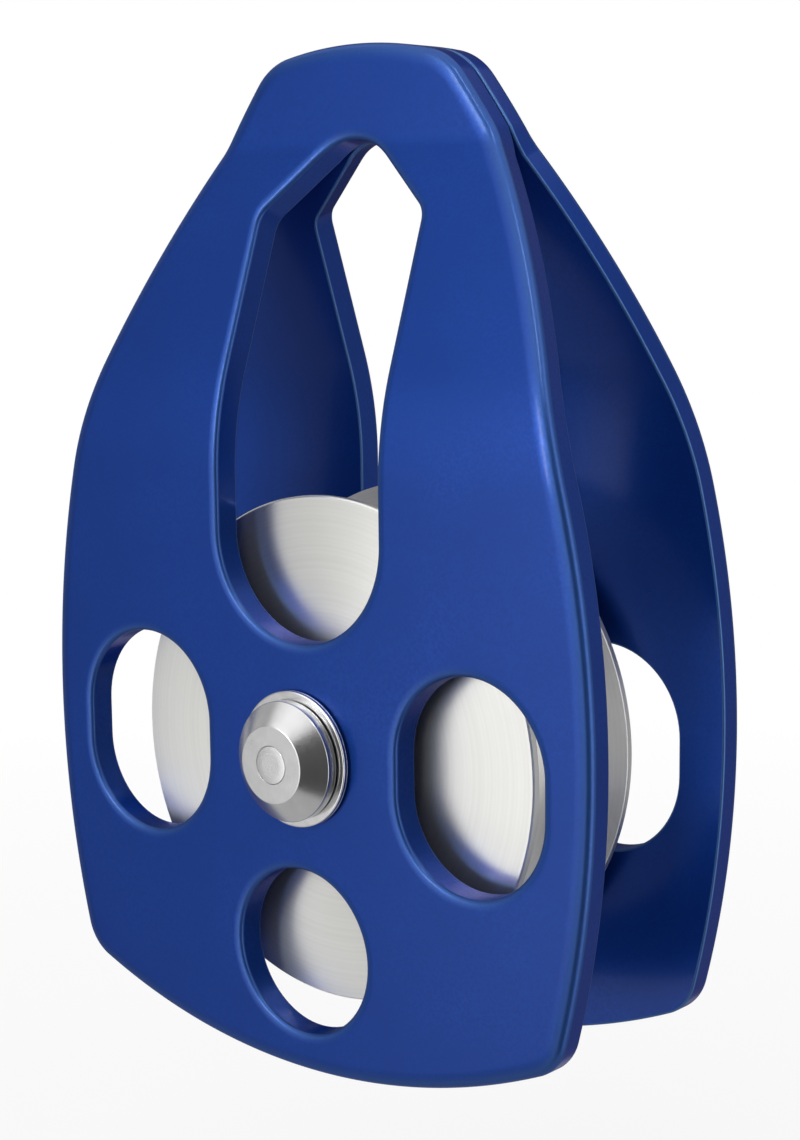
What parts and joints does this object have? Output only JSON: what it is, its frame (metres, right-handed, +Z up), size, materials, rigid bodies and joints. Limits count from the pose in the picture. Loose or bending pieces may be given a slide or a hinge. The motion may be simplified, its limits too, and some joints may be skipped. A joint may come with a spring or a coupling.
{
  "type": "rope pulley",
  "caption": "Rope pulley with bent swinging side plates that meet at a keyhole eye, a grooved sheave on ball bearings and a riveted axle.",
  "frame": {"origin": "crown of the eye in the middle plane, where the pulley hangs", "axes": "+X across the plates, to the right seen from the front; +Y along the axle from front plate to rear plate; +Z up"},
  "size_m": [0.103, 0.0488, 0.1492],
  "materials": {
    "anodised_plate": "satin blue anodising",
    "turned_aluminium": "fine turned, satin",
    "axle_steel": "ground",
    "polished_head": "polished",
    "polished_washer": "polished",
    "spacer_steel": "turned",
    "bearing_steel": "ground",
    "ball_steel": "polished",
    "cage_brass": "pressed",
    "seal_rubber": "moulded",
    "spring_steel": "blackened"
  },
  "bodies": {
    "rear_plate": {"rear_cheek": "anodised_plate"},
    "axle_group": {"axle": "axle_steel", "centre_spacer": "spacer_steel", "front_head": "polished_head", "rear_head": "polished_head", "front_washer": "polished_washer", "rear_washer": "polished_washer", "front_side_spacer": "spacer_steel", "rear_side_spacer": "spacer_steel", "front_inner_ring": "bearing_steel", "rear_inner_ring": "bearing_steel"},
    "front_plate": {"front_cheek": "anodised_plate"},
    "wheel": {"sheave": "turned_aluminium", "front_outer_ring": "bearing_steel", "rear_outer_ring": "bearing_steel", "front_outer_seal": "seal_rubber", "rear_outer_seal": "seal_rubber", "front_inner_seal": "seal_rubber", "rear_inner_seal": "seal_rubber", "front_retaining_ring": "spring_steel", "rear_retaining_ring": "spring_steel"},
    "front_ball_set": {"front_cage": "cage_brass", "front_ball_1": "ball_steel", "front_ball_2": "ball_steel", "front_ball_3": "ball_steel", "front_ball_4": "ball_steel", "front_ball_5": "ball_steel", "front_ball_6": "ball_steel", "front_ball_7": "ball_steel", "front_ball_8": "ball_steel"},
    "rear_ball_set": {"rear_cage": "cage_brass", "rear_ball_1": "ball_steel", "rear_ball_2": "ball_steel", "rear_ball_3": "ball_steel", "rear_ball_4": "ball_steel", "rear_ball_5": "ball_steel", "rear_ball_6": "ball_steel", "rear_ball_7": "ball_steel", "rear_ball_8": "ball_steel"}
  },
  "joints": [
    {"name": "rear_plate_swing", "type": "hinge", "parent": "rear_plate", "child": "axle_group", "pos_m": [0, 0, -0.0886], "axis": [0, 1, 0], "continuous": true},
    {"name": "front_plate_swing", "type": "hinge", "parent": "axle_group", "child": "front_plate", "pos_m": [0, 0, -0.0886], "axis": [0, 1, 0], "continuous": true},
    {"name": "sheave_spin", "type": "hinge", "parent": "axle_group", "child": "wheel", "pos_m": [0, 0, -0.0886], "axis": [0, 1, 0], "continuous": true},
    {"name": "front_balls_roll", "type": "hinge", "parent": "axle_group", "child": "front_ball_set", "pos_m": [0, 0, -0.0886], "axis": [0, 1, 0], "continuous": true},
    {"name": "rear_balls_roll", "type": "hinge", "parent": "axle_group", "child": "rear_ball_set", "pos_m": [0, 0, -0.0886], "axis": [0, 1, 0], "continuous": true}
  ],
  "couplings": [
    {"joint": "front_balls_roll", "follows": "sheave_spin", "ratio": 0.619},
    {"joint": "rear_balls_roll", "follows": "sheave_spin", "ratio": 0.619}
  ]
}
